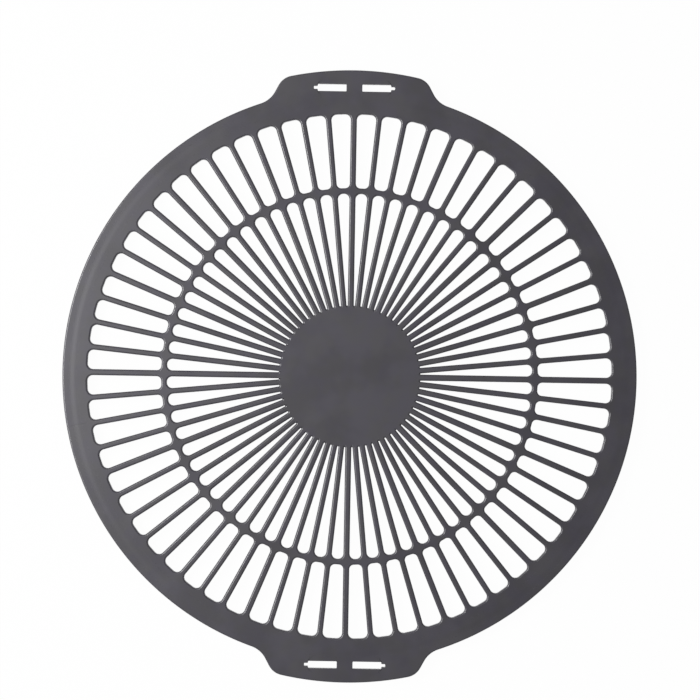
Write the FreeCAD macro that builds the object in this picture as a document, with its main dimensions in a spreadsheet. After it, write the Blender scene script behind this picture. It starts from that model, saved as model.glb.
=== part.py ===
import FreeCAD, Part
import collections
import math
import os
import Sketcher

# A cake divider moulded as one flat disc. Sixteen wide bars, each with a thin marking rib under
# it, mark sixteen slices, and three narrower bars stand between each pair of them, so that the
# disc also serves as a cooling rack. A ring ties the bars halfway, and two tabs hold the disc.
# The origin is under the centre of the disc, on the surface that it stands on. +Z is up, and
# the tabs lie along +Y and -Y.

# The driving sizes, in millimetres and degrees: name, value, what it is.
SIZES = [
    ("rim_diameter", 300, "across the round rim"),
    ("rim_width", 12.8, "solid rim outside the slots"),
    ("plate_thickness", 3, "thickness of the plate"),
    ("slices", 16, "number of slices that the disc marks"),
    ("bars_per_slice", 4, "bars from one wide bar to the next"),
    ("wide_bar", 3, "width of a bar that marks a slice"),
    ("plain_bar", 2.7, "width of the bars between them"),
    ("ring_radius", 96.95, "middle of the ring that ties the bars"),
    ("ring_width", 2.7, "width of that ring"),
    ("hub_radius", 37, "solid middle, where the slots begin"),
    ("rim_corner", 2.85, "slot corners at the rim"),
    ("ring_outer_corner", 2.4, "slot corners on the outside of the ring"),
    ("ring_inner_corner", 2.8, "slot corners on the inside of the ring"),
    ("step_inset", 7, "from the outside of the rim in to the step on its top"),
    ("step_width", 3.5, "width of that step"),
    ("step_drop", 0.12, "height of that step"),
    ("rim_bevel", 0.6, "eased top edge round the rim and the tabs"),
    ("tab_reach", 10, "how far a tab stands out past the rim"),
    ("tab_width", 80.9, "tab between its slanted sides, level with the rim"),
    ("tab_side_angle", 62, "slant of a tab's sides from the rim's tangent"),
    ("tab_corner", 9.5, "outer corners of a tab"),
    ("tab_blend", 13, "hollow corner where a tab's side runs into the rim"),
    ("grip_offset", 0.9, "middle of the grip slots, outside the rim's radius"),
    ("grip_bridge", 8.3, "bridge between the two grip slots of a tab"),
    ("grip_length", 15, "wide stretch of a grip slot"),
    ("grip_width", 3.75, "width of that stretch"),
    ("nub_length", 2.05, "narrow end of a grip slot"),
    ("nub_width", 1.65, "width of that end"),
    ("rib_height", 5, "height of the marking ribs under the plate"),
    ("rib_root", 2, "thickness of a rib at the plate"),
    ("rib_draft", 5.7, "slant of a rib's faces towards its lower edge"),
    ("rib_start", 12, "from the centre to the inner end of a rib"),
    ("rib_inset", 1, "from the inside of the rim to the outer end of a rib"),
]
SIZE = {name: float(value) for name, value, _ in SIZES}

# Places that several features share, as expressions on the sheet.
RIM = "Sizes.rim_diameter / 2"
SLOT_END = "Sizes.rim_diameter / 2 - Sizes.rim_width"
TOP = "Sizes.rib_height + Sizes.plate_thickness"
PITCH = "360 / (Sizes.slices * Sizes.bars_per_slice)"

# How far a cutting profile runs past the material that it removes.
OVERRUN = 5
# How close two lengths must be to count as the same when an edge is looked for.
SAME = 0.001
# The most of half a slot's width that a corner of it may take.
CORNER_SHARE = 0.9

# The points of a sketched edge, and the sketch's own origin.
START, END, CENTRE = 1, 2, 3
ORIGIN = (-1, 1)
UP = FreeCAD.Vector(0, 0, 1)
MIDDLE = FreeCAD.Vector(0, 0, 0)

Bar = collections.namedtuple("Bar", "line angle half half_text")
SlotEnd = collections.namedtuple("SlotEnd", "distance distance_text corner corner_text")

doc = FreeCAD.newDocument("cake_divider")


def write_sheet():
    """One row for each driving size: its name, its value and what it is."""
    sheet = doc.addObject("Spreadsheet::Sheet", "Sizes")
    for row, (name, value, meaning) in enumerate(SIZES, 1):
        sheet.set(f"A{row}", name)
        sheet.set(f"B{row}", str(value))
        sheet.set(f"C{row}", meaning)
        sheet.setAlias(f"B{row}", name)
    doc.recompute()


def origin_feature(body, role):
    """The plane or axis of the body's own origin that has this role."""
    return next(item for item in body.Origin.OriginFeatures if item.Role == role)


def new_sketch(body, name, plane="XY_Plane", height=None):
    """An empty sketch on one of the body's planes, raised by an expression where one is given."""
    sketch = body.newObject("Sketcher::SketchObject", name)
    sketch.AttachmentSupport = [(origin_feature(body, plane), "")]
    sketch.MapMode = "FlatFace"
    if height:
        sketch.setExpression("AttachmentOffset.Base.z", height)
    return sketch


def rule(sketch, kind, *where):
    """A rule of the sketch that has no size, such as one edge being level or meeting another."""
    sketch.addConstraint(Sketcher.Constraint(kind, *where))


def drive(sketch, name, expression, kind, *where):
    """A dimension of the sketch that follows an expression. The last of where is its first value."""
    index = sketch.addConstraint(Sketcher.Constraint(kind, *where))
    sketch.renameConstraint(index, name)
    sketch.setExpression(f"Constraints.{name}", expression)


def line(sketch, start, end, construction=False):
    return sketch.addGeometry(Part.LineSegment(start, end), construction)


def arc(sketch, centre, start, end):
    """An arc about a centre that runs anticlockwise from start to end."""
    first = math.atan2(start.y - centre.y, start.x - centre.x)
    last = math.atan2(end.y - centre.y, end.x - centre.x)
    if last < first:
        last += 2 * math.pi
    circle = Part.Circle(centre, UP, (start - centre).Length)
    return sketch.addGeometry(Part.ArcOfCircle(circle, first, last), False)


def polygon(sketch, points):
    """A closed outline of straight edges, each tied to the next."""
    edges = [line(sketch, a, b) for a, b in zip(points, points[1:] + points[:1])]
    for edge, following in zip(edges, edges[1:] + edges[:1]):
        rule(sketch, "Coincident", edge, END, following, START)
    return edges


def heading(angle):
    """The unit vector at an angle in degrees from +X."""
    turn = math.radians(angle)
    return FreeCAD.Vector(math.cos(turn), math.sin(turn), 0)


def beside(angle, along, aside):
    """The point along a line from the centre at an angle in degrees, and left aside from it."""
    return heading(angle) * along + heading(angle + 90) * aside


def built(feature, grows):
    """The feature after a rebuild, which must be sound and must add or remove material."""
    doc.recompute()
    if feature.Shape.isNull() or not feature.Shape.isValid():
        raise RuntimeError(f"{feature.Name} has no sound shape")
    before = feature.BaseFeature.Shape.Volume if feature.BaseFeature else 0
    change = feature.Shape.Volume - before
    if (change > 0) != grows or abs(change) < SAME:
        raise RuntimeError(f"{feature.Name} changed the volume by {change:.3f}")
    return feature


def edges_where(feature, test):
    """The names of a feature's edges that pass a test."""
    return [f"Edge{n}" for n, edge in enumerate(feature.Shape.Edges, 1) if test(edge)]


def turned_about_z(body, name, originals, occurrences):
    """Features repeated evenly about the disc's axis."""
    pattern = body.newObject("PartDesign::PolarPattern", name)
    pattern.Originals = originals
    pattern.Axis = (origin_feature(body, "Z_Axis"), [""])
    pattern.Angle = 360
    if isinstance(occurrences, str):
        pattern.setExpression("Occurrences", occurrences)
    else:
        pattern.Occurrences = occurrences
    body.Tip = pattern
    return pattern


def add_disc(body):
    """The round plate, standing on the top of the ribs' height."""
    sketch = new_sketch(body, "disc_outline", height="Sizes.rib_height")
    radius = SIZE["rim_diameter"] / 2
    rim = sketch.addGeometry(Part.Circle(MIDDLE, UP, radius), False)
    rule(sketch, "Coincident", rim, CENTRE, *ORIGIN)
    drive(sketch, "rim_radius", RIM, "Radius", rim, radius)
    disc = body.newObject("PartDesign::Pad", "disc")
    disc.Profile = sketch
    disc.setExpression("Length", "Sizes.plate_thickness")
    built(disc, grows=True)


def add_tabs(body):
    """The two holding tabs: slanted sides under an outer edge that runs along with the rim."""
    radius = SIZE["rim_diameter"] / 2
    reach = radius + SIZE["tab_reach"]
    base = radius - SIZE["rim_width"]
    half = SIZE["tab_width"] / 2
    slope = math.tan(math.radians(SIZE["tab_side_angle"]))
    foot = half + (radius - base) / slope

    # The top of a side is where it crosses the outer edge: the nearer root of a circle and a line.
    a = 1 + slope**2
    b = radius + half * slope
    top = (b * slope - math.sqrt((b * slope) ** 2 - a * (b**2 - reach**2))) / a
    head = FreeCAD.Vector(top, b - top * slope, 0)

    sketch = new_sketch(body, "tab_outline", height="Sizes.rib_height")
    floor = line(sketch, FreeCAD.Vector(-foot, base, 0), FreeCAD.Vector(foot, base, 0))
    right = line(sketch, FreeCAD.Vector(foot, base, 0), head)
    outer = arc(sketch, MIDDLE, head, FreeCAD.Vector(-head.x, head.y, 0))
    left = line(sketch, FreeCAD.Vector(-head.x, head.y, 0), FreeCAD.Vector(-foot, base, 0))
    level = line(sketch, FreeCAD.Vector(-half, radius, 0), FreeCAD.Vector(half, radius, 0), True)
    edges = [floor, right, outer, left]
    for edge, following in zip(edges, edges[1:] + edges[:1]):
        rule(sketch, "Coincident", edge, END, following, START)
    rule(sketch, "Coincident", outer, CENTRE, *ORIGIN)
    rule(sketch, "Symmetric", floor, START, floor, END, -2)
    rule(sketch, "Symmetric", level, START, level, END, -2)
    rule(sketch, "PointOnObject", level, START, left)
    rule(sketch, "PointOnObject", level, END, right)
    drive(sketch, "floor_height", SLOT_END, "DistanceY", *ORIGIN, floor, START, base)
    drive(sketch, "level_height", RIM, "DistanceY", *ORIGIN, level, START, radius)
    drive(sketch, "width", "Sizes.tab_width", "DistanceX", level, START, level, END, 2 * half)
    drive(sketch, "outer_radius", f"{RIM} + Sizes.tab_reach", "Radius", outer, reach)
    slant = math.radians(180 - SIZE["tab_side_angle"])
    drive(sketch, "slant", "180 - Sizes.tab_side_angle", "Angle", right, slant)

    tab = body.newObject("PartDesign::Pad", "tab")
    tab.Profile = sketch
    tab.setExpression("Length", "Sizes.plate_thickness")
    built(tab, grows=True)
    return built(turned_about_z(body, "tabs", [tab], 2), grows=True)


def upright_at(radius):
    """A test for upright edges that stand at a radius from the disc's axis."""

    def test(edge):
        low, high = edge.Vertexes[0].Point, edge.Vertexes[-1].Point
        upright = math.hypot(high.x - low.x, high.y - low.y) < SAME < abs(high.z - low.z)
        return upright and abs(math.hypot(low.x, low.y) - radius) < SAME

    return test


def outer_at(height, radius):
    """A test for edges at a height that lie at a radius from the disc's axis, or outside it."""

    def test(edge):
        points = edge.discretize(Number=5)
        level = all(abs(point.z - height) < SAME for point in points)
        return level and all(math.hypot(point.x, point.y) > radius - SAME for point in points)

    return test


def ease_edges(body, kind, name, size_property, size, base, test):
    """A rounding or a bevel along the edges of the base that pass a test."""
    eased = body.newObject(kind, name)
    eased.Base = (base, edges_where(base, test))
    eased.setExpression(size_property, size)
    doc.recompute()
    return eased


def round_tabs(body, tabs):
    """The rounded outer corners of the tabs, and the hollow corners where they meet the rim."""
    rounding = "PartDesign::Fillet"
    tips = upright_at(SIZE["rim_diameter"] / 2 + SIZE["tab_reach"])
    size = "Sizes.tab_corner"
    corners = ease_edges(body, rounding, "tab_corners", "Radius", size, tabs, tips)
    built(corners, grows=False)
    roots = upright_at(SIZE["rim_diameter"] / 2)
    size = "Sizes.tab_blend"
    blends = ease_edges(body, rounding, "tab_blends", "Radius", size, corners, roots)
    return built(blends, grows=True)


def add_rim_step(body):
    """The shallow slope down to the outside of the rim, turned about the axis as one cut."""
    top = SIZE["rib_height"] + SIZE["plate_thickness"]
    start = SIZE["rim_diameter"] / 2 - SIZE["step_inset"]
    width, drop = SIZE["step_width"], SIZE["step_drop"]
    far = SIZE["rim_diameter"] / 2 + SIZE["tab_reach"] + OVERRUN
    roof = top + OVERRUN
    places = [(start, top), (start + width, top - drop), (far, top - drop), (far, roof), (start, roof)]

    sketch = new_sketch(body, "step_profile", plane="XZ_Plane")
    slope, flat, wall, lid, back = polygon(sketch, [FreeCAD.Vector(x, y, 0) for x, y in places])
    rule(sketch, "Horizontal", flat)
    rule(sketch, "Vertical", wall)
    rule(sketch, "Horizontal", lid)
    rule(sketch, "Vertical", back)
    drive(sketch, "start", f"{RIM} - Sizes.step_inset", "DistanceX", *ORIGIN, slope, START, start)
    drive(sketch, "top", TOP, "DistanceY", *ORIGIN, slope, START, top)
    drive(sketch, "width", "Sizes.step_width", "DistanceX", slope, START, slope, END, width)
    drive(sketch, "drop", "Sizes.step_drop", "DistanceY", slope, END, slope, START, drop)
    reach = f"{RIM} + Sizes.tab_reach + {OVERRUN}"
    drive(sketch, "far", reach, "DistanceX", *ORIGIN, wall, START, far)
    drive(sketch, "roof", f"{TOP} + {OVERRUN}", "DistanceY", *ORIGIN, lid, START, roof)

    step = body.newObject("PartDesign::Groove", "rim_step")
    step.Profile = sketch
    step.ReferenceAxis = (sketch, ["V_Axis"])
    step.Angle = 360
    return built(step, grows=False)


def bevel_rim(body, stepped):
    """The eased top edge all round the rim and the tabs."""
    height = SIZE["rib_height"] + SIZE["plate_thickness"] - SIZE["step_drop"]
    outline = outer_at(height, SIZE["rim_diameter"] / 2)
    size = "Sizes.rim_bevel"
    bevel = ease_edges(body, "PartDesign::Chamfer", "rim_bevel", "Size", size, stepped, outline)
    built(bevel, grows=False)


def add_ribs(body):
    """The thin marking ribs under the wide bars, drafted on every side towards their lower edge."""
    start = SIZE["rib_start"]
    end = SIZE["rim_diameter"] / 2 - SIZE["rim_width"] - SIZE["rib_inset"]
    half = SIZE["rib_root"] / 2
    corners = [(start, -half), (end, -half), (end, half), (start, half)]

    sketch = new_sketch(body, "rib_root_outline", height="Sizes.rib_height")
    low, tip, high, heel = polygon(sketch, [FreeCAD.Vector(x, y, 0) for x, y in corners])
    rule(sketch, "Horizontal", low)
    rule(sketch, "Horizontal", high)
    rule(sketch, "Vertical", tip)
    rule(sketch, "Symmetric", heel, START, heel, END, -1)
    drive(sketch, "start", "Sizes.rib_start", "DistanceX", *ORIGIN, low, START, start)
    drive(sketch, "end", f"{SLOT_END} - Sizes.rib_inset", "DistanceX", *ORIGIN, low, END, end)
    drive(sketch, "root", "Sizes.rib_root", "DistanceY", tip, START, tip, END, 2 * half)

    rib = body.newObject("PartDesign::Pad", "rib")
    rib.Profile = sketch
    rib.Reversed = True
    rib.setExpression("Length", "Sizes.rib_height")
    rib.setExpression("TaperAngle", "-Sizes.rib_draft")
    built(rib, grows=True)
    built(turned_about_z(body, "ribs", [rib], "Sizes.slices"), grows=True)


def draw_grip_slot(sketch, name, side):
    """One grip slot of a tab: a wide stretch that ends in a narrow nub, away from the bridge."""
    middle = SIZE["rim_diameter"] / 2 + SIZE["grip_offset"]
    inner = side * SIZE["grip_bridge"] / 2
    shoulder = inner + side * SIZE["grip_length"]
    tip = shoulder + side * SIZE["nub_length"]
    wide, narrow = SIZE["grip_width"] / 2, SIZE["nub_width"] / 2
    outline = [
        (inner, middle - wide),
        (shoulder, middle - wide),
        (shoulder, middle - narrow),
        (tip, middle - narrow),
        (tip, middle + narrow),
        (shoulder, middle + narrow),
        (shoulder, middle + wide),
        (inner, middle + wide),
    ]
    edges = polygon(sketch, [FreeCAD.Vector(x, y, 0) for x, y in outline])
    for edge in edges[0::2]:
        rule(sketch, "Horizontal", edge)
    for edge in edges[1::2]:
        rule(sketch, "Vertical", edge)
    base, rise, ledge, end, _, fall, _, back = edges
    rule(sketch, "Equal", rise, fall)
    rule(sketch, "Vertical", rise, END, fall, START)
    for edge, size in ((base, "grip_length"), (ledge, "nub_length")):
        place = (edge, START, edge, END) if side > 0 else (edge, END, edge, START)
        drive(sketch, f"{name}_{size}", f"Sizes.{size}", "DistanceX", *place, SIZE[size])
    bridge = f"{side} * Sizes.grip_bridge / 2"
    drive(sketch, f"{name}_bridge", bridge, "DistanceX", *ORIGIN, base, START, inner)
    drive(sketch, f"{name}_width", "Sizes.grip_width", "DistanceY", base, START, back, START, 2 * wide)
    drive(sketch, f"{name}_nub_width", "Sizes.nub_width", "DistanceY", end, START, end, END, 2 * narrow)
    lower = f"{RIM} + Sizes.grip_offset - Sizes.grip_width / 2"
    drive(sketch, f"{name}_place", lower, "DistanceY", *ORIGIN, base, START, middle - wide)


def cut_through(body, sketch):
    """A cut down through everything under a sketch that lies on the plate's top."""
    pocket = body.newObject("PartDesign::Pocket", sketch.Name.replace("_outline", ""))
    pocket.Profile = sketch
    pocket.Type = "ThroughAll"
    return built(pocket, grows=False)


def cut_grips(body):
    """The pair of grip slots in each tab."""
    sketch = new_sketch(body, "grip_slots_outline", height=TOP)
    draw_grip_slot(sketch, "right", 1)
    draw_grip_slot(sketch, "left", -1)
    grips = cut_through(body, sketch)
    built(turned_about_z(body, "grips", [grips], 2), grows=False)


def corner(bar, side, out, end, facing):
    """Where a corner of a slot lies: its centre, its end on the bar and its end on the slot's end.

    The centre stands one corner radius clear of the bar, which bounds the slot at its low (1) or
    high (-1) side, and one corner radius inside the slot's end, which faces out (1) or in (-1).
    """
    aside = side * (bar.half + end.corner)
    ahead, left = heading(bar.angle), heading(bar.angle + 90)
    along = (end.distance - facing * end.corner - aside * left.dot(out)) / ahead.dot(out)
    centre = ahead * along + left * aside
    return centre, beside(bar.angle, along, side * bar.half), centre + out * facing * end.corner


def draw_slot(sketch, number, low, high, inner, outer):
    """The closed outline of one slot, between a bar and the next one anticlockwise.

    Each end is straight and square to the slot's middle line. The outline runs out along the low
    bar, round the outer end, in along the high bar and round the inner end. An inner end with no
    corner radius keeps its corners sharp.
    """
    out = heading((low.angle + high.angle) / 2)
    low_out, high_out = corner(low, 1, out, outer, 1), corner(high, -1, out, outer, 1)
    low_in, high_in = corner(low, 1, out, inner, -1), corner(high, -1, out, inner, -1)
    low_side = line(sketch, low_in[1], low_out[1])
    low_outer = arc(sketch, low_out[0], low_out[1], low_out[2])
    outer_end = line(sketch, low_out[2], high_out[2])
    high_outer = arc(sketch, high_out[0], high_out[2], high_out[1])
    high_side = line(sketch, high_out[1], high_in[1])
    inner_end = line(sketch, high_in[2], low_in[2])
    route = [low_side, low_outer, outer_end, high_outer, high_side, inner_end]
    corners = [(low_outer, outer), (high_outer, outer)]
    if inner.corner:
        high_inner = arc(sketch, high_in[0], high_in[1], high_in[2])
        low_inner = arc(sketch, low_in[0], low_in[2], low_in[1])
        route = route[:-1] + [high_inner, inner_end, low_inner]
        corners += [(high_inner, inner), (low_inner, inner)]

    for edge, following in zip(route, route[1:] + route[:1]):
        sharp = not inner.corner and inner_end in (edge, following)
        rule(sketch, "Coincident" if sharp else "Tangent", edge, END, following, START)
    for index, (edge, end) in enumerate(corners):
        name = f"slot_{number}_corner_{index}"
        drive(sketch, name, end.corner_text, "Radius", edge, end.corner)
    for edge, bar, place in ((low_side, low, "low"), (high_side, high, "high")):
        rule(sketch, "Parallel", edge, bar.line)
        name = f"slot_{number}_{place}_side"
        drive(sketch, name, bar.half_text, "Distance", edge, START, bar.line, bar.half)
    for edge, end, place, turn in ((inner_end, inner, "inner", -90), (outer_end, outer, "outer", 90)):
        square = f"{PITCH} * {number + 0.5} + {turn}"
        angle = math.radians((low.angle + high.angle) / 2 + turn)
        drive(sketch, f"slot_{number}_{place}_angle", square, "Angle", edge, angle)
        name = f"slot_{number}_{place}_end"
        drive(sketch, name, end.distance_text, "Distance", *ORIGIN, edge, end.distance)


def draw_bars(sketch):
    """The middle lines of the bars of one slice, from one wide bar to the next."""
    bars = []
    count = int(SIZE["bars_per_slice"])
    pitch = 360 / (SIZE["slices"] * count)
    length = SIZE["rim_diameter"] / 2
    for number in range(count + 1):
        angle = pitch * number
        kind = "wide_bar" if number in (0, count) else "plain_bar"
        middle = line(sketch, MIDDLE, beside(angle, length, 0), True)
        rule(sketch, "Coincident", middle, START, *ORIGIN)
        drive(sketch, f"bar_{number}_length", RIM, "Distance", middle, length)
        if number:
            turn = f"{PITCH} * {number}"
            drive(sketch, f"bar_{number}_angle", turn, "Angle", middle, math.radians(angle))
        else:
            rule(sketch, "Horizontal", middle)
        bars.append(Bar(middle, angle, SIZE[kind] / 2, f"Sizes.{kind} / 2"))
    return bars


def cut_slot_ring(body, name, inner, outer):
    """The slots of one slice between two circles."""
    sketch = new_sketch(body, f"{name}_outline", height=TOP)
    bars = draw_bars(sketch)
    for number, (low, high) in enumerate(zip(bars, bars[1:])):
        draw_slot(sketch, number, low, high, inner, outer)
    return cut_through(body, sketch)


def rounded_end(distance, distance_text, corner_name):
    """A slot's end at a distance from the centre, with corners that leave it some straight width.

    Half the width there is what half a pitch spans at that distance, less half a wide bar.
    """
    half_pitch = math.pi / (SIZE["slices"] * SIZE["bars_per_slice"])
    room = CORNER_SHARE * (distance * math.tan(half_pitch) - SIZE["wide_bar"] / 2)
    span = f"({distance_text}) * tan({PITCH} / 2)"
    room_text = f"{CORNER_SHARE} * ({span} - Sizes.wide_bar / 2)"
    corner_text = f"min(Sizes.{corner_name}; {room_text})"
    return SlotEnd(distance, distance_text, min(SIZE[corner_name], room), corner_text)


def cut_grille(body):
    """The slots between the bars, inside and outside the ring, repeated for every slice."""
    ring, half_ring = SIZE["ring_radius"], SIZE["ring_width"] / 2
    ring_text = "Sizes.ring_radius {} Sizes.ring_width / 2"
    slot_end = SIZE["rim_diameter"] / 2 - SIZE["rim_width"]
    hub = SlotEnd(SIZE["hub_radius"], "Sizes.hub_radius", 0, None)
    inside = rounded_end(ring - half_ring, ring_text.format("-"), "ring_inner_corner")
    outside = rounded_end(ring + half_ring, ring_text.format("+"), "ring_outer_corner")
    rim = rounded_end(slot_end, SLOT_END, "rim_corner")
    inner = cut_slot_ring(body, "inner_slots", hub, inside)
    outer = cut_slot_ring(body, "outer_slots", outside, rim)
    built(turned_about_z(body, "grille", [inner, outer], "Sizes.slices"), grows=False)


def add_divider_disc():
    """The whole divider, one solid."""
    body = doc.addObject("PartDesign::Body", "divider_disc")
    body.Label = "divider_disc"
    body.Placement = FreeCAD.Placement()
    add_disc(body)
    tabs = round_tabs(body, add_tabs(body))
    bevel_rim(body, add_rim_step(body))
    add_ribs(body)
    cut_grips(body)
    cut_grille(body)
    return body


def write_parts(bodies):
    """Checks every object and every solid, then writes each sub-part to its own file."""
    doc.recompute()
    failed = [item.Name for item in doc.Objects if {"Invalid", "Error"} & set(item.State)]
    if failed:
        raise RuntimeError(f"not rebuilt: {', '.join(failed)}")
    for body in bodies:
        if body.Shape.isNull() or not body.Shape.isValid() or len(body.Shape.Solids) != 1:
            raise RuntimeError(f"{body.Label} is not one sound solid")
    os.makedirs("parts", exist_ok=True)
    for body in bodies:
        body.Shape.exportStep(f"parts/{body.Label}.step")
        print(f"{body.Label}: {body.Shape.Volume / 1000:.2f} cm3 in {len(body.Shape.Faces)} faces")


write_sheet()
write_parts([add_divider_disc()])
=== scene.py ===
import math

import bmesh
import bpy
import numpy as np
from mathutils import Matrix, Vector


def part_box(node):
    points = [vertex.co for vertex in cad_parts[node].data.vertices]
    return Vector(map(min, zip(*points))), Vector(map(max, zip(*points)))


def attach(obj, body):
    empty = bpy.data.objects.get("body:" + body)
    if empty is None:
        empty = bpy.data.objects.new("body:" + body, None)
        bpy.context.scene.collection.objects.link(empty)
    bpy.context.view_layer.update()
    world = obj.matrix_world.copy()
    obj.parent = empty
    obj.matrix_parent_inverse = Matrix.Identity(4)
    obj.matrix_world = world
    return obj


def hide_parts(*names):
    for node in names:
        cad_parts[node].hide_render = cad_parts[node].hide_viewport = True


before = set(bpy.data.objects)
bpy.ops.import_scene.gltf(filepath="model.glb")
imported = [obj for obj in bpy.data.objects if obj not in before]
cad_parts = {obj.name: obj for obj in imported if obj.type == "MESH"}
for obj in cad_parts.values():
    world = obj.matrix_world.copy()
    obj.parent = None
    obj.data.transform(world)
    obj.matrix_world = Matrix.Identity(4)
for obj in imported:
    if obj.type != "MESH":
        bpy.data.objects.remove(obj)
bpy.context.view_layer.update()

# A cake divider moulded in one piece, seen from straight above on a white table. Lengths are in
# metres. The disc's axis is Z, its ribs stand on z = 0, and its holding tabs lie along +Y and -Y.

NODE = "divider_disc"
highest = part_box(NODE)[1]

# The sizes of the disc that the frame gives.
RIM_RADIUS = highest.x
TAB_RADIUS = highest.y
TOP = highest.z

# The plate and its bars. Every fourth bar is a wide one, with a marking rib under it.
BAR_COUNT = 64
BARS_PER_SLICE = 4
PITCH = 2 * math.pi / BAR_COUNT
SLICE_ANGLE = BARS_PER_SLICE * PITCH
SLICE_TURNS = np.arange(BAR_COUNT // BARS_PER_SLICE) * SLICE_ANGLE
UNDERSIDE = 0.005
WIDE_HALF = 0.0016
PLAIN_HALF = 0.00147

# The slots, from the hub to the rim.
HUB_END = 0.037
RING_INSIDE = 0.0955
RING_MIDDLE = 0.09695
RING_OUTSIDE = 0.0984
RIM_INSIDE = 0.137
HUB_CORNER = 0.0003
RING_INSIDE_CORNER = 0.0028
RING_OUTSIDE_CORNER = 0.0024
RIM_CORNER = 0.00285
SLOT_TOP_ROUND = 0.0009
SLOT_FOOT_ROUND = 0.0002

# The rim and its soft step down to the land outside it. The land has a second row of points part
# of the way out to the edge's rounding.
STEP_START = RIM_RADIUS - 0.007
STEP_END = RIM_RADIUS - 0.0035
STEP_DROP = 0.00007
LAND = TOP - STEP_DROP
LAND_INSIDE = RIM_RADIUS - 0.003
LAND_ROW_SHARE = 0.75
RIM_TOP_ROUND = 0.0008
RIM_FOOT_ROUND = 0.0003

# The holding tabs, about their own middle line, and the grip slots with their stepped tips.
TAB_HALF = 0.04045
TAB_SLANT = math.radians(62)
TAB_CORNER = 0.0095
TAB_BLEND = 0.013
GRIP_MIDDLE = RIM_RADIUS + 0.0007
GRIP_START = 0.00415
GRIP_LENGTH = 0.015
GRIP_HALF = 0.001875
NUB_LENGTH = 0.00205
NUB_HALF = 0.000825
GRIP_CORNER = 0.0004
GRIP_ROUND = 0.0002

# The marking ribs: their ends, how far past them the foot and the seam beside it run, half the
# foot's width, and the point nearest to the axis in which the foot's seams meet.
RIB_START = 0.012
RIB_END = RIM_INSIDE - 0.001
RIB_END_GAP = 0.0002
RIB_SEAM_GAP = 0.0003
RIB_FOOT = 0.00115
RIB_POINT = 0.0105

# A rib's section, from the plate down to its lower edge: how far inside its foot each row lies,
# and its height. The flat foot comes first, with its ends run out to points, and then a small
# hollow, the drafted side and the rounded lower edge.
RIB_INSETS = np.array([0.0, 0.0, 0.06, 0.11, 0.15, 0.2, 0.6, 0.635, 0.67, 0.74]) * 0.001
RIB_HEIGHTS = np.array([5.0, 5.0, 4.985, 4.94, 4.86, 4.5, 0.2, 0.06, 0.01, 0.0]) * 0.001

# The weld line across the rim: its ray's angle, half its width, its ends and their fading.
WELD_ANGLE = math.radians(191.1)
WELD_HALF = 0.0004
WELD_START = 0.1385
WELD_END = 0.149
WELD_FADE = 0.002

# Flat strip beside each rounding, which keeps the flat faces' shading flat.
BORDER = 0.00005

# How finely outlines are divided: the steps of a slot's corners, of its ends, of a rounding, of
# the rim's step, and of a grip slot's bends and the run after each bend.
CORNER_STEPS = 6
RIM_END_STEPS = 10
RING_END_STEPS = 2
HUB_CORNER_STEPS = 4
HUB_END_STEPS = 1
ROUNDING_STEPS = 6
RIM_STEP_STEPS = 8
GRIP_BEND_STEPS = 4
GRIP_RUN_STEPS = (11, 1, 2, 1)

# The rim's columns all round, and those that half a grip slot's outline takes, in which the last
# run is left to the mirror image.
RIM_COLUMNS = BAR_COUNT * (CORNER_STEPS + RIM_END_STEPS)
GRIP_COLUMNS = len(GRIP_RUN_STEPS) * GRIP_BEND_STEPS + sum(GRIP_RUN_STEPS[:-1])

# Where each slot's patch of the plate meets its neighbours, and how near two points count as one.
HUB_SEAM = 0.034
RIM_SEAM = STEP_START
SAME_PLACE = 1e-7

# The hub's rings of points on top, and its rows underneath, which follow the ribs inwards.
HUB_RINGS = np.array([HUB_SEAM, 0.024, 0.012, 0.0])
HUB_ROWS = np.array([HUB_SEAM, 0.024, 0.014, RIB_START - RIB_END_GAP, RIB_POINT])

# The plastic's colours: a grey and a bluish grey, each from its darker to its paler shade.
GREYS = ((0.0607, 0.0575, 0.0660), (0.0696, 0.0660, 0.0754))
BLUISH_GREYS = ((0.0600, 0.0559, 0.0716), (0.0690, 0.0645, 0.0819))
WELD_GREY = (0.04, 0.038, 0.043)
WELD_SHARE = 0.4

# The plastic's clouds of noise, with the part of each one's range that is spread out, its
# roughness from end to end, and the depths of the weld line's groove and of the grain.
FLOW_NOISE = {"Scale": 38.0, "Detail": 3.0, "Roughness": 0.55}
FLOW_RANGE = (0.36, 0.64)
CAST_NOISE = {"Scale": 105.0, "Detail": 2.0}
CAST_RANGE = (0.38, 0.62)
GRAIN_NOISE = {"Scale": 5200.0, "Detail": 2.0}
SKIN_SOCKETS = {"IOR": 1.49, "Coat Weight": 0.6, "Coat Roughness": 0.24}
ROUGHNESS_RANGE = {"To Min": 0.39, "To Max": 0.47}
GROOVE_BUMP = {"Strength": 0.5, "Distance": 0.00003}
GRAIN_BUMP = {"Strength": 0.25, "Distance": 0.00002}

# The table: half its side, its colour, and the share of plain white that it shows. It lies a hair
# below the ribs' lower edges, so that the two never show through each other.
TABLE_HALF = 3.0
TABLE_HEIGHT = -0.00005
TABLE_COLOUR = (0.8, 0.8, 0.8, 1)
TABLE_WHITE_SHARE = 0.98

# The light: an even white sky, and a soft box at the left with its place, size and power.
WHITE = (1, 1, 1, 1)
SKY_STRENGTH = 0.2
BOX_PLACE = (-0.552, 0.07, 0.765)
BOX_SIZE = (0.48, 0.34)
BOX_WATTS = 7.9

# The photograph's frame in pixels, where the disc lies in it and how it is turned, and how far
# the camera hangs above a height on the rim's upright wall.
IMAGE_SIZE = 700
DISC_X, DISC_Y = 349.52, 376.45
RIM_RADIUS_PIXELS = 287.1
TURN = math.radians(0.98)
WALL_HEIGHT = 0.0068
CAMERA_HEIGHT = 1.3
SENSOR_WIDTH = 36


def unit(angle):
    """The unit vector at each angle, in plan."""
    return np.stack((np.cos(angle), np.sin(angle)), axis=-1)


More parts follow.
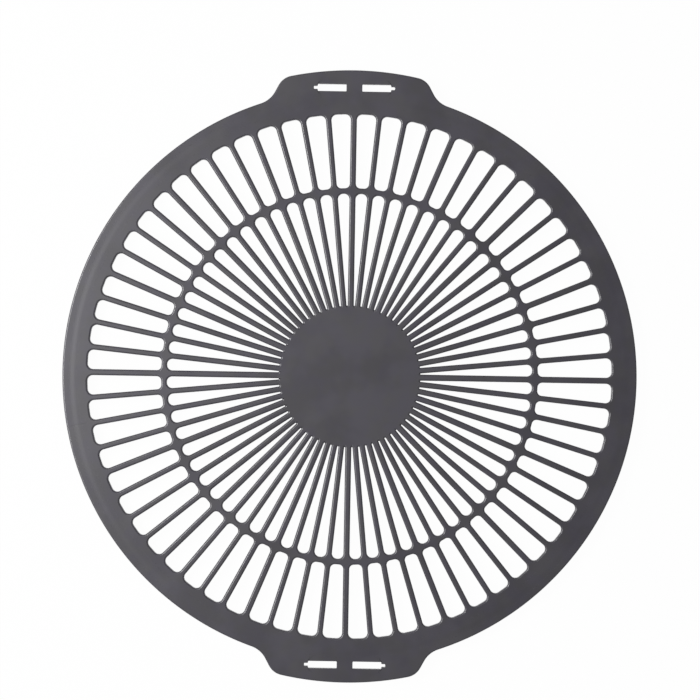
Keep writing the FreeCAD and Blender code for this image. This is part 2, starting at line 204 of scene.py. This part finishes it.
def raised(plan, height):
    """Points in plan at a height."""
    plan = np.asarray(plan, float)
    return np.concatenate((plan, np.full(plan.shape[:-1] + (1,), height)), axis=-1)


def between(first, second, share):
    """What lies between two values or points, at each share of the way."""
    return first + share * (second - first)


def turned(points, angle):
    """Points turned about the disc's axis by one angle, or by several, which adds a first axis."""
    c, s = np.cos(angle), np.sin(angle)
    x, y, z = points[..., 0], points[..., 1], points[..., 2]
    if np.ndim(angle):
        c = np.reshape(c, (-1,) + (1,) * x.ndim)
        s = np.reshape(s, (-1,) + (1,) * x.ndim)
    return np.stack((c * x - s * y, s * x + c * y, np.broadcast_to(z, (c * x).shape)), axis=-1)


def quads(grid):
    """The four corners of each cell of a grid of points, whose last axes are row, column, xyz."""
    g = np.asarray(grid)
    cells = (g[..., :-1, :-1, :], g[..., 1:, :-1, :], g[..., 1:, 1:, :], g[..., :-1, 1:, :])
    return np.stack(cells, axis=-2).reshape(-1, 4, 3)


def closed(grid):
    """A grid whose last column is its first one again."""
    return np.concatenate((grid, grid[..., :1, :]), axis=-2)


def edge_profile(top, foot, top_round, foot_round):
    """The section through an edge of the plate, as distance into the material and height.

    A quarter circle leads from the flat top to the upright wall and another one from the wall to
    the flat foot, with a narrow flat strip before and after them.
    """
    turn = np.linspace(0, math.pi / 2, ROUNDING_STEPS + 1)
    low_turn = np.linspace(0, math.pi / 2, ROUNDING_STEPS // 2)
    into = np.concatenate((
        [top_round + BORDER],
        top_round * (1 - np.sin(turn)),
        foot_round * (1 - np.cos(low_turn)),
        [foot_round + BORDER],
    ))
    height = np.concatenate((
        [top],
        top - top_round * (1 - np.cos(turn)),
        foot + foot_round * (1 - np.sin(low_turn)),
        [foot],
    ))
    return into, height


def carried(outline, inward, profile):
    """A section carried along an outline: each row is the outline moved into the material."""
    into, height = profile
    plan = outline[None] + into[:, None, None] * inward[None]
    levels = np.broadcast_to(height[:, None, None], plan.shape[:2] + (1,))
    return np.concatenate((plan, levels), axis=-1)


def corner_arc(bar_angle, bar_half, side, end, facing, radius, steps):
    """A slot's corner: the arc between a bar's side and a slot end that is round about the axis.

    Its centre is one radius clear of the bar and of the end. side is 1 where the slot lies
    anticlockwise of the bar, and facing is 1 for the slot's outer end. It runs from the bar's
    side to the end. The points, their normals and the centre's angle are returned.
    """
    aside = bar_half + radius
    reach = end - facing * radius
    middle = bar_angle + side * math.asin(aside / reach)
    start = bar_angle - side * math.pi / 2
    finish = middle + (0 if facing > 0 else -side * math.pi)
    outward = unit(np.linspace(start, finish, steps + 1))
    return reach * unit(middle) + radius * outward, outward, middle


def end_arc(start, finish, radius, facing, steps):
    """The points inside a slot's end, between its two corners, and their normals."""
    outward = unit(np.linspace(start, finish, steps + 1)[1:-1])
    return radius * outward, facing * outward


def slot_outline(low, high, inner, outer):
    """One slot's outline and its normals, which point into the plate.

    It runs round the outer end from the low bar to the high one, then round the inner end back.
    low and high are the bars' angle and half width. inner and outer are the end's radius from the
    axis, corner radius, corner steps and end steps.
    """
    points, normals = [], []
    for end, facing, first, second in ((outer, 1, low, high), (inner, -1, high, low)):
        radius, corner, steps, end_steps = end
        near, near_out, start = corner_arc(*first, facing, radius, facing, corner, steps)
        far, far_out, finish = corner_arc(*second, -facing, radius, facing, corner, steps)
        across, across_out = end_arc(start, finish, radius, facing, end_steps)
        points += [near, across, far[::-1]]
        normals += [near_out, across_out, far_out[::-1]]
    return np.concatenate(points), np.concatenate(normals)


def seam_stations(start, seam, steps):
    """Where a bar's seam has points beside a slot's corner, out to where the seam turns."""
    return np.linspace(start, seam, steps // 2 + 1)


def seam_line(bar_angle, side, stations, foot):
    """The seam's points at distances along a bar: on its middle line, or beside the rib's foot."""
    along_rib = (stations > RIB_START - RIB_SEAM_GAP) & (stations < RIB_END + RIB_SEAM_GAP)
    aside = side * np.where(along_rib, foot, 0.0)
    across = unit(bar_angle + math.pi / 2)
    return stations[:, None] * unit(bar_angle) + aside[:, None] * across


def polar_between(start, finish, steps):
    """The points between two points, evenly spaced in angle and in distance from the axis."""
    share = np.linspace(0, 1, steps + 1)[1:-1]
    angle = [math.atan2(p[1], p[0]) for p in (start, finish)]
    turn = (angle[1] - angle[0] + math.pi) % (2 * math.pi) - math.pi
    distance = [math.hypot(*p) for p in (start, finish)]
    return between(*distance, share)[:, None] * unit(angle[0] + share * turn)


def slot_seam(low_angle, high_angle, low_foot, high_foot, inner, outer):
    """The border of a slot's patch, point for point beside the slot's outline.

    It follows the low bar's middle out to a circle, that circle to the high bar, that bar's
    middle in to a smaller circle, and that circle back. inner and outer are the end's stations
    along the bars and its steps across.
    """
    points = []
    low, high = (low_angle, 1, low_foot), (high_angle, -1, high_foot)
    for (stations, steps), first, second in ((outer, low, high), (inner, high, low)):
        near = seam_line(first[0], first[1], stations, first[2])
        far = seam_line(second[0], second[1], stations, second[2])
        across = polar_between(near[-1], far[-1], steps)
        points += [near, across, far[::-1]]
    return np.concatenate(points)


# The seams' stations along a bar, for each end of a slot. One at the rim is moved to where the
# rib's foot ends.
HUB_STATIONS = seam_stations(HUB_END + HUB_CORNER, HUB_SEAM, HUB_CORNER_STEPS)
RING_IN_STATIONS = seam_stations(RING_INSIDE - RING_INSIDE_CORNER, RING_MIDDLE, CORNER_STEPS)
RING_OUT_STATIONS = seam_stations(RING_OUTSIDE + RING_OUTSIDE_CORNER, RING_MIDDLE, CORNER_STEPS)
RIM_STATIONS = seam_stations(RIM_INSIDE - RIM_CORNER, RIM_SEAM, CORNER_STEPS)
RIM_STATIONS[1] = RIB_END + RIB_END_GAP


def bar_half(number):
    """Half a bar's width: the first bar of each slice is a wide one."""
    return WIDE_HALF if number % BARS_PER_SLICE == 0 else PLAIN_HALF


def rib_foot(number):
    """Half the width of the rib's foot under a bar, or nothing under a plain one."""
    return RIB_FOOT if number % BARS_PER_SLICE == 0 else 0.0


def slot_patches():
    """The plate round every slot: flat top, rounded edge, wall and flat underside.

    One slice's slots are worked out and turned about the axis to every slice.
    """
    patches = []
    profile = edge_profile(TOP, UNDERSIDE, SLOT_TOP_ROUND, SLOT_FOOT_ROUND)
    hub = (HUB_END, HUB_CORNER, HUB_CORNER_STEPS, HUB_END_STEPS)
    ring_in = (RING_INSIDE, RING_INSIDE_CORNER, CORNER_STEPS, RING_END_STEPS)
    ring_out = (RING_OUTSIDE, RING_OUTSIDE_CORNER, CORNER_STEPS, RING_END_STEPS)
    rim = (RIM_INSIDE, RIM_CORNER, CORNER_STEPS, RIM_END_STEPS)
    inner_seams = ((HUB_STATIONS, HUB_CORNER_STEPS + HUB_END_STEPS),
                   (RING_IN_STATIONS, CORNER_STEPS + RING_END_STEPS))
    outer_seams = ((RING_OUT_STATIONS, CORNER_STEPS + RING_END_STEPS),
                   (RIM_STATIONS, CORNER_STEPS + RIM_END_STEPS))
    for number in range(BARS_PER_SLICE):
        angles = (number * PITCH, (number + 1) * PITCH)
        low = (angles[0], bar_half(number))
        high = (angles[1], bar_half(number + 1))
        feet = (rib_foot(number), rib_foot(number + 1))
        for ends, seams in (((hub, ring_in), inner_seams), ((ring_out, rim), outer_seams)):
            outline, inward = slot_outline(low, high, *ends)
            edge = carried(outline, inward, profile)
            top_seam = raised(slot_seam(*angles, 0.0, 0.0, *seams), TOP)
            foot_seam = raised(slot_seam(*angles, *feet, *seams), UNDERSIDE)
            rows = np.concatenate((top_seam[None], edge, foot_seam[None]))
            patches.append(quads(turned(closed(rows), SLICE_TURNS)))
    return patches


def circle_on_line(normal, offset, radius):
    """The point at a distance along a line's normal that is also at a radius from the axis."""
    along = np.array([-normal[1], normal[0]])
    return offset * normal + math.sqrt(radius**2 - offset**2) * along


def tab_outline(angle):
    """The outline's points, and their normals into the plate, at each angle.

    The rim is a circle. Near a tab's middle line, at +Y or -Y, the outline is a larger circle, a
    rounded corner, a straight slanted side and a hollow corner back to the rim. Each is met by a
    ray from the axis, and the pieces follow each other where they touch.
    """
    lean = np.abs(angle % math.pi - math.pi / 2)
    ray = np.stack((np.sin(lean), np.cos(lean)), axis=-1)

    # The straight side: its normal out of the plate, and its distance from the axis.
    normal = np.array([math.sin(TAB_SLANT), math.cos(TAB_SLANT)])
    offset = normal @ np.array([TAB_HALF, RIM_RADIUS])
    # The corner's centre is one radius inside the side and the outer circle, and the blend's
    # centre is one radius outside the side and the rim.
    corner = circle_on_line(normal, offset - TAB_CORNER, TAB_RADIUS - TAB_CORNER)
    blend = circle_on_line(normal, offset + TAB_BLEND, RIM_RADIUS + TAB_BLEND)
    joints = [
        math.atan2(*(corner * TAB_RADIUS / np.linalg.norm(corner))),
        math.atan2(*(corner + TAB_CORNER * normal)),
        math.atan2(*(blend - TAB_BLEND * normal)),
        math.atan2(*blend),
    ]
    along_corner = ray @ corner
    far = along_corner + np.sqrt(np.maximum(along_corner**2 - corner @ corner + TAB_CORNER**2, 0))
    along_blend = ray @ blend
    near = along_blend - np.sqrt(np.maximum(along_blend**2 - blend @ blend + TAB_BLEND**2, 0))
    straight = offset / (ray @ normal)
    places = [lean < joint for joint in joints]
    radius = np.select(places, [np.full_like(lean, TAB_RADIUS), far, straight, near], RIM_RADIUS)
    point = radius[:, None] * ray
    plain = -np.broadcast_to(normal, ray.shape)
    normals = [-ray, (corner - point) / TAB_CORNER, plain, (point - blend) / TAB_BLEND]
    inward = np.select([place[:, None] for place in places], normals, -ray)
    flip = np.where(unit(angle) >= 0, 1.0, -1.0)
    return point * flip, inward * flip


def rim_rows():
    """The rows of the rim, from the seam round the outside to the seam on the underside.

    The step's height falls by half a cosine wave. The number of the land's first row comes too.
    """
    angle = np.arange(RIM_COLUMNS) * 2 * math.pi / RIM_COLUMNS
    circle = unit(angle)
    share = np.linspace(0, 1, RIM_STEP_STEPS + 1)
    step_radius = between(STEP_START, STEP_END, share)
    step_height = TOP - STEP_DROP * (1 - np.cos(math.pi * share)) / 2
    step = np.stack([raised(r * circle, z) for r, z in zip(step_radius, step_height)])
    outline, inward = tab_outline(angle)
    edge = carried(outline, inward, edge_profile(LAND, UNDERSIDE, RIM_TOP_ROUND, RIM_FOOT_ROUND))
    inside = LAND_INSIDE * circle
    land = raised(np.stack((inside, between(inside, edge[0, :, :2], LAND_ROW_SHARE))), LAND)
    foot = raised(np.stack((between(inside, edge[-1, :, :2], LAND_ROW_SHARE), inside)), UNDERSIDE)
    seam = raised(RIM_SEAM * circle, UNDERSIDE)
    return np.concatenate((step, land, edge, foot, seam[None])), len(step)


def bent_path(corners, radius, bend_steps, run_steps):
    """A path of level and upright runs with rounded bends, and its normals into the plate.

    Each bend is a quarter circle that touches both of its runs, and the run after it is divided
    into its own number of steps. The normal points to the right of the way along the path.
    """
    points, normals = [], []
    corners = np.asarray(corners, float)
    sweep = np.linspace(0, math.pi / 2, bend_steps + 1)[:, None]
    for before, corner, after, steps in zip(corners, corners[1:], corners[2:], run_steps):
        arriving = (corner - before) / np.linalg.norm(corner - before)
        leaving = (after - corner) / np.linalg.norm(after - corner)
        centre = corner + radius * (leaving - arriving)
        arc = centre - radius * (np.cos(sweep) * leaving - np.sin(sweep) * arriving)
        heading = np.cos(sweep) * arriving + np.sin(sweep) * leaving
        aside = np.stack((heading[:, 1], -heading[:, 0]), axis=-1)
        share = np.linspace(0, 1, steps + 1)[1:-1, None]
        run = between(arc[-1], after - radius * leaving, share)
        points += [arc, run]
        normals += [aside, np.broadcast_to(aside[-1], run.shape)]
    return np.concatenate(points), np.concatenate(normals)


def grip_outline():
    """One grip slot of the +Y tab, right of its middle line, and its normals into the plate.

    The lower half runs from the bridge to the nub, and the upper half is its mirror image.
    """
    shoulder = GRIP_START + GRIP_LENGTH
    tip = shoulder + NUB_LENGTH
    middle = GRIP_MIDDLE
    low, nub = middle - GRIP_HALF, middle - NUB_HALF
    corners = [
        (GRIP_START, middle), (GRIP_START, low), (shoulder, low),
        (shoulder, nub), (tip, nub), (tip, middle),
    ]
    points, normals = bent_path(corners, GRIP_CORNER, GRIP_BEND_STEPS, GRIP_RUN_STEPS)
    mirrored = points[::-1] * [1, -1] + [0, 2 * middle]
    return np.concatenate((points, mirrored)), np.concatenate((normals, normals[::-1] * [1, -1]))


def rim_patches():
    """The rim with both tabs, and the plate round their grip slots.

    Beside each tab's middle line the land's cells are left out, above and below, and the plate
    round the grip slots fills their place, joined to the land's two rows.
    """
    rows, land = rim_rows()
    foot = len(rows) - 3
    quarter = RIM_COLUMNS // 4
    cells = quads(closed(rows)).reshape(len(rows) - 1, RIM_COLUMNS, 4, 3)
    keep = np.ones(cells.shape[:2], bool)
    for middle in (quarter, 3 * quarter):
        tab = middle + np.arange(-GRIP_COLUMNS, GRIP_COLUMNS)
        keep[land, tab] = False
        keep[foot, tab] = False
    patches = [cells[keep]]

    outline, inward = grip_outline()
    edge = carried(outline, inward, edge_profile(LAND, UNDERSIDE, GRIP_ROUND, GRIP_ROUND))
    right = quarter - np.arange(GRIP_COLUMNS + 1)
    above = np.concatenate((rows[land, right], rows[land + 1, right[::-1]]))
    below = np.concatenate((rows[foot + 1, right], rows[foot, right[::-1]]))
    grip = closed(np.concatenate((above[None], edge, below[None])))
    for mirror in (1, -1):
        patches.append(quads(turned(grip * [mirror, 1, 1], np.array([0, math.pi]))))
    return patches


def hub_patches():
    """The solid middle: rings that close in to one point, above and below.

    Underneath, one slice's rows run between the feet of two ribs and are turned to every slice.
    """
    steps = HUB_CORNER_STEPS + HUB_END_STEPS
    count = BAR_COUNT * steps
    around = unit(np.arange(count + 1) * 2 * math.pi / count)
    patches = [quads(raised(HUB_RINGS[:, None, None] * around[None], TOP))]

    low = seam_line(0.0, 1, HUB_ROWS, RIB_FOOT)
    high = seam_line(SLICE_ANGLE, -1, HUB_ROWS, RIB_FOOT)
    # The outermost row meets the slots' patches, whose seams turn at each bar.
    posts = HUB_SEAM * unit(np.arange(BARS_PER_SLICE + 1) * PITCH)
    posts[0], posts[-1] = low[0], high[0]
    outermost = [posts[:1]]
    for a, b in zip(posts, posts[1:]):
        outermost += [polar_between(a, b, steps), b[None]]
    rows = [np.concatenate(outermost)]
    for a, b in zip(low[1:], high[1:]):
        rows.append(np.concatenate(([a], polar_between(a, b, BARS_PER_SLICE * steps), [b])))
    rows.append(np.zeros_like(rows[0]))
    patches.append(quads(turned(raised(np.stack(rows), UNDERSIDE), SLICE_TURNS)))
    return patches


def rib_patches():
    """The marking ribs: a section carried round each foot, and closed along the lower edge."""
    along = np.concatenate((
        HUB_ROWS[::-1][:-1],
        HUB_STATIONS[::-1],
        RING_IN_STATIONS,
        RING_OUT_STATIONS[::-1][1:],
        RIM_STATIONS[:3],
    ))
    body = along[1:-1]
    rows = []
    for inset, height in zip(RIB_INSETS, RIB_HEIGHTS):
        x = np.clip(body, body[0] + inset, body[-1] - inset)
        side = np.stack((x, np.full_like(x, RIB_FOOT - inset)), axis=-1)
        # Only the foot, the first row, runs out to points.
        tips = x[[0, -1]] if rows else along[[0, -1]]
        loop = ([(tips[0], 0.0)], side, [(tips[1], 0.0)], side[::-1] * [1, -1])
        rows.append(raised(np.concatenate(loop), height))
    rows = np.stack(rows)
    edge = rows[-1][1:len(body) + 1]
    sole = np.stack((edge, edge * [1, 0, 1], edge * [1, -1, 1]))
    return [quads(turned(closed(rows), SLICE_TURNS)), quads(turned(sole, SLICE_TURNS))]


def welded(patches):
    """One mesh's points and faces from cells that share their corners.

    A cell with two corners in one place becomes a triangle, and one closed up further is dropped.
    """
    corners = np.concatenate(patches).reshape(-1, 3)
    places = np.round(corners / SAME_PLACE).astype(np.int64)
    _, first, index = np.unique(places, axis=0, return_index=True, return_inverse=True)
    index = index.reshape(-1, 4)
    repeated = index == np.roll(index, 1, axis=1)
    whole = index[repeated.sum(axis=1) == 0]
    pointed = repeated.sum(axis=1) == 1
    triangles = index[pointed][~repeated[pointed]].reshape(-1, 3)
    return corners[first], whole.tolist() + triangles.tolist()


def make_disc():
    """The whole moulding as one closed mesh, with its faces pointing outwards."""
    points, faces = welded(slot_patches() + rim_patches() + hub_patches() + rib_patches())
    mesh = bpy.data.meshes.new("moulded_disc")
    mesh.from_pydata(points, [], faces)
    bm = bmesh.new()
    bm.from_mesh(mesh)
    bmesh.ops.recalc_face_normals(bm, faces=bm.faces)
    bm.to_mesh(mesh)
    bm.free()
    mesh.shade_smooth()
    disc = bpy.data.objects.new("moulded_disc", mesh)
    bpy.context.scene.collection.objects.link(disc)
    return disc


class Nodes:
    """Short calls for building a node tree."""

    def __init__(self, tree):
        """Starts with the tree empty."""
        self.tree = tree
        tree.nodes.clear()

    def add(self, kind, values=None, **settings):
        """A new node, with its settings and the values of its sockets."""
        node = self.tree.nodes.new(kind)
        for name, value in settings.items():
            setattr(node, name, value)
        for name, value in (values or {}).items():
            node.inputs[name].default_value = value
        return node

    def join(self, source, output, target, socket):
        """A link from one node's output to another one's socket."""
        self.tree.links.new(source.outputs[output], target.inputs[socket])

    def ramp(self, source, output, low, high, at_low, at_high):
        """A soft ramp of a value, from at_low where it is low to at_high where it is high."""
        values = {"From Min": low, "From Max": high, "To Min": at_low, "To Max": at_high}
        node = self.add("ShaderNodeMapRange", values, interpolation_type="SMOOTHSTEP")
        self.join(source, output, node, "Value")
        return node

    def cloud(self, place, values, low, high):
        """Noise on the object's own coordinates, spread out from its usual range to 0 to 1."""
        noise = self.add("ShaderNodeTexNoise", values)
        self.join(place, "Object", noise, "Vector")
        return self.ramp(noise, "Fac", low, high, 0.0, 1.0)

    def blend(self, share, first, second):
        """A colour between two others, each a blend of its own or red, green and blue."""
        node = self.add("ShaderNodeMix", data_type="RGBA")
        self.join(share, 0, node, 0)
        # A Mix node's colour sockets are numbers 6 and 7, and its colour output is number 2.
        for socket, colour in ((6, first), (7, second)):
            if isinstance(colour, tuple):
                node.inputs[socket].default_value = (*colour, 1)
            else:
                self.join(colour, 2, node, socket)
        return node

    def pair(self, operation, first, output, second, second_output):
        """Two values put together by an operation, such as their product or the larger one."""
        node = self.add("ShaderNodeMath", operation=operation)
        self.join(first, output, node, 0)
        self.join(second, second_output, node, 1)
        return node

    def part(self, value, number):
        """A value times a number."""
        node = self.add("ShaderNodeMath", {1: number}, operation="MULTIPLY")
        self.join(value, "Value", node, 0)
        return node


def new_material(name):
    """A new material, the short calls for its node tree, and its output node."""
    material = bpy.data.materials.new(name)
    material.use_nodes = True
    n = Nodes(material.node_tree)
    return material, n, n.add("ShaderNodeOutputMaterial")


def satin_plastic():
    """Dark grey moulded plastic: a satin skin with a very fine grain, flow marks and a weld line.

    One cloud of noise varies how dark the grey is, and a finer one how bluish it is. The weld line
    is where the melt met itself: a faint dark groove across the rim, along one ray from the axis.
    """
    material, n, out = new_material("satin_grey_plastic")
    skin = n.add("ShaderNodeBsdfPrincipled", SKIN_SOCKETS)
    n.join(skin, "BSDF", out, "Surface")
    place = n.add("ShaderNodeTexCoord")

    flow = n.cloud(place, FLOW_NOISE, *FLOW_RANGE)
    cast = n.cloud(place, CAST_NOISE, *CAST_RANGE)
    colour = n.blend(cast, n.blend(flow, *GREYS), n.blend(flow, *BLUISH_GREYS))

    # The weld line's own coordinates: along its ray and aside from it.
    ray = n.add("ShaderNodeMapping", {"Rotation": (0, 0, -WELD_ANGLE)})
    n.join(place, "Object", ray, "Vector")
    parts = n.add("ShaderNodeSeparateXYZ")
    n.join(ray, "Vector", parts, "Vector")
    aside = n.add("ShaderNodeMath", operation="ABSOLUTE")
    n.join(parts, "Y", aside, 0)
    near = n.ramp(aside, "Value", WELD_HALF / 2, WELD_HALF, 1.0, 0.0)
    begun = n.ramp(parts, "X", WELD_START, WELD_START + WELD_FADE, 0.0, 1.0)
    going = n.ramp(parts, "X", WELD_END - WELD_FADE, WELD_END, 1.0, 0.0)
    inside = n.pair("MULTIPLY", near, "Result", begun, "Result")
    line = n.pair("MULTIPLY", inside, "Value", going, "Result")
    marked = n.blend(n.part(line, WELD_SHARE), colour, WELD_GREY)
    n.join(marked, 2, skin, "Base Color")

    gloss = n.add("ShaderNodeMapRange", ROUGHNESS_RANGE)
    n.join(flow, "Result", gloss, "Value")
    n.join(gloss, "Result", skin, "Roughness")

    groove = n.add("ShaderNodeBump", GROOVE_BUMP, invert=True)
    n.join(line, "Value", groove, "Height")
    grain = n.add("ShaderNodeTexNoise", GRAIN_NOISE)
    n.join(place, "Object", grain, "Vector")
    bump = n.add("ShaderNodeBump", GRAIN_BUMP)
    n.join(grain, "Fac", bump, "Height")
    n.join(groove, "Normal", bump, "Normal")
    n.join(bump, "Normal", skin, "Normal")
    return material


def white_table():
    """A white table that shows white to the camera and still takes the disc's shadow.

    Rays from the camera, from gloss and through glass see plain white mixed with a little of the
    lit surface, and other rays see the lit surface alone.
    """
    material, n, out = new_material("white_table")
    lit = n.add("ShaderNodeBsdfDiffuse", {"Color": TABLE_COLOUR})
    white = n.add("ShaderNodeEmission", {"Color": WHITE, "Strength": 1.0})
    ray = n.add("ShaderNodeLightPath")
    seen = n.pair("MAXIMUM", ray, "Is Camera Ray", ray, "Is Glossy Ray")
    seen = n.pair("MAXIMUM", seen, "Value", ray, "Is Transmission Ray")
    mix = n.add("ShaderNodeMixShader")
    n.join(n.part(seen, TABLE_WHITE_SHARE), "Value", mix, 0)
    n.join(lit, "BSDF", mix, 1)
    n.join(white, "Emission", mix, 2)
    n.join(mix, "Shader", out, "Surface")
    return material


def make_table():
    """The table: one flat square."""
    mesh = bpy.data.meshes.new("table")
    corners = TABLE_HALF * np.array([(-1, -1), (1, -1), (1, 1), (-1, 1)])
    mesh.from_pydata(raised(corners, TABLE_HEIGHT), [], [(0, 1, 2, 3)])
    table = bpy.data.objects.new("table", mesh)
    bpy.context.scene.collection.objects.link(table)
    table.data.materials.append(white_table())


def make_light():
    """A rectangular soft box at the left, which faces the middle of the disc."""
    data = bpy.data.lights.new("left_soft_box", "AREA")
    data.shape = "RECTANGLE"
    data.size, data.size_y = BOX_SIZE
    data.energy = BOX_WATTS
    light = bpy.data.objects.new("left_soft_box", data)
    light.location = BOX_PLACE
    light.rotation_euler = (-Vector(BOX_PLACE)).to_track_quat("-Z", "Y").to_euler()
    bpy.context.scene.collection.objects.link(light)


def make_world():
    """An even white sky."""
    world = bpy.data.worlds.new("studio")
    bpy.context.scene.world = world
    world.use_nodes = True
    n = Nodes(world.node_tree)
    out = n.add("ShaderNodeOutputWorld")
    sky = n.add("ShaderNodeBackground", {"Color": WHITE, "Strength": SKY_STRENGTH})
    n.join(sky, "Background", out, "Surface")


def make_camera():
    """The camera looks straight down, turned so that the disc appears turned clockwise.

    It hangs over the frame's middle, which is as far from the disc's axis as in the photograph.
    """
    data = bpy.data.cameras.new("camera")
    camera = bpy.data.objects.new("camera", data)
    bpy.context.scene.collection.objects.link(camera)
    bpy.context.scene.camera = camera
    pixel = RIM_RADIUS / RIM_RADIUS_PIXELS
    right = (IMAGE_SIZE / 2 - DISC_X) * pixel
    up = (DISC_Y - IMAGE_SIZE / 2) * pixel
    x = right * math.cos(TURN) - up * math.sin(TURN)
    y = right * math.sin(TURN) + up * math.cos(TURN)
    camera.location = (x, y, WALL_HEIGHT + CAMERA_HEIGHT)
    camera.rotation_euler = (0, 0, TURN)
    data.sensor_width = SENSOR_WIDTH
    data.lens = SENSOR_WIDTH * CAMERA_HEIGHT / (IMAGE_SIZE * pixel)


disc = make_disc()
disc.data.materials.append(satin_plastic())
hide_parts(NODE)
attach(disc, "root")

make_table()
make_world()
make_camera()
make_light()
bpy.context.scene.view_settings.view_transform = "Standard"
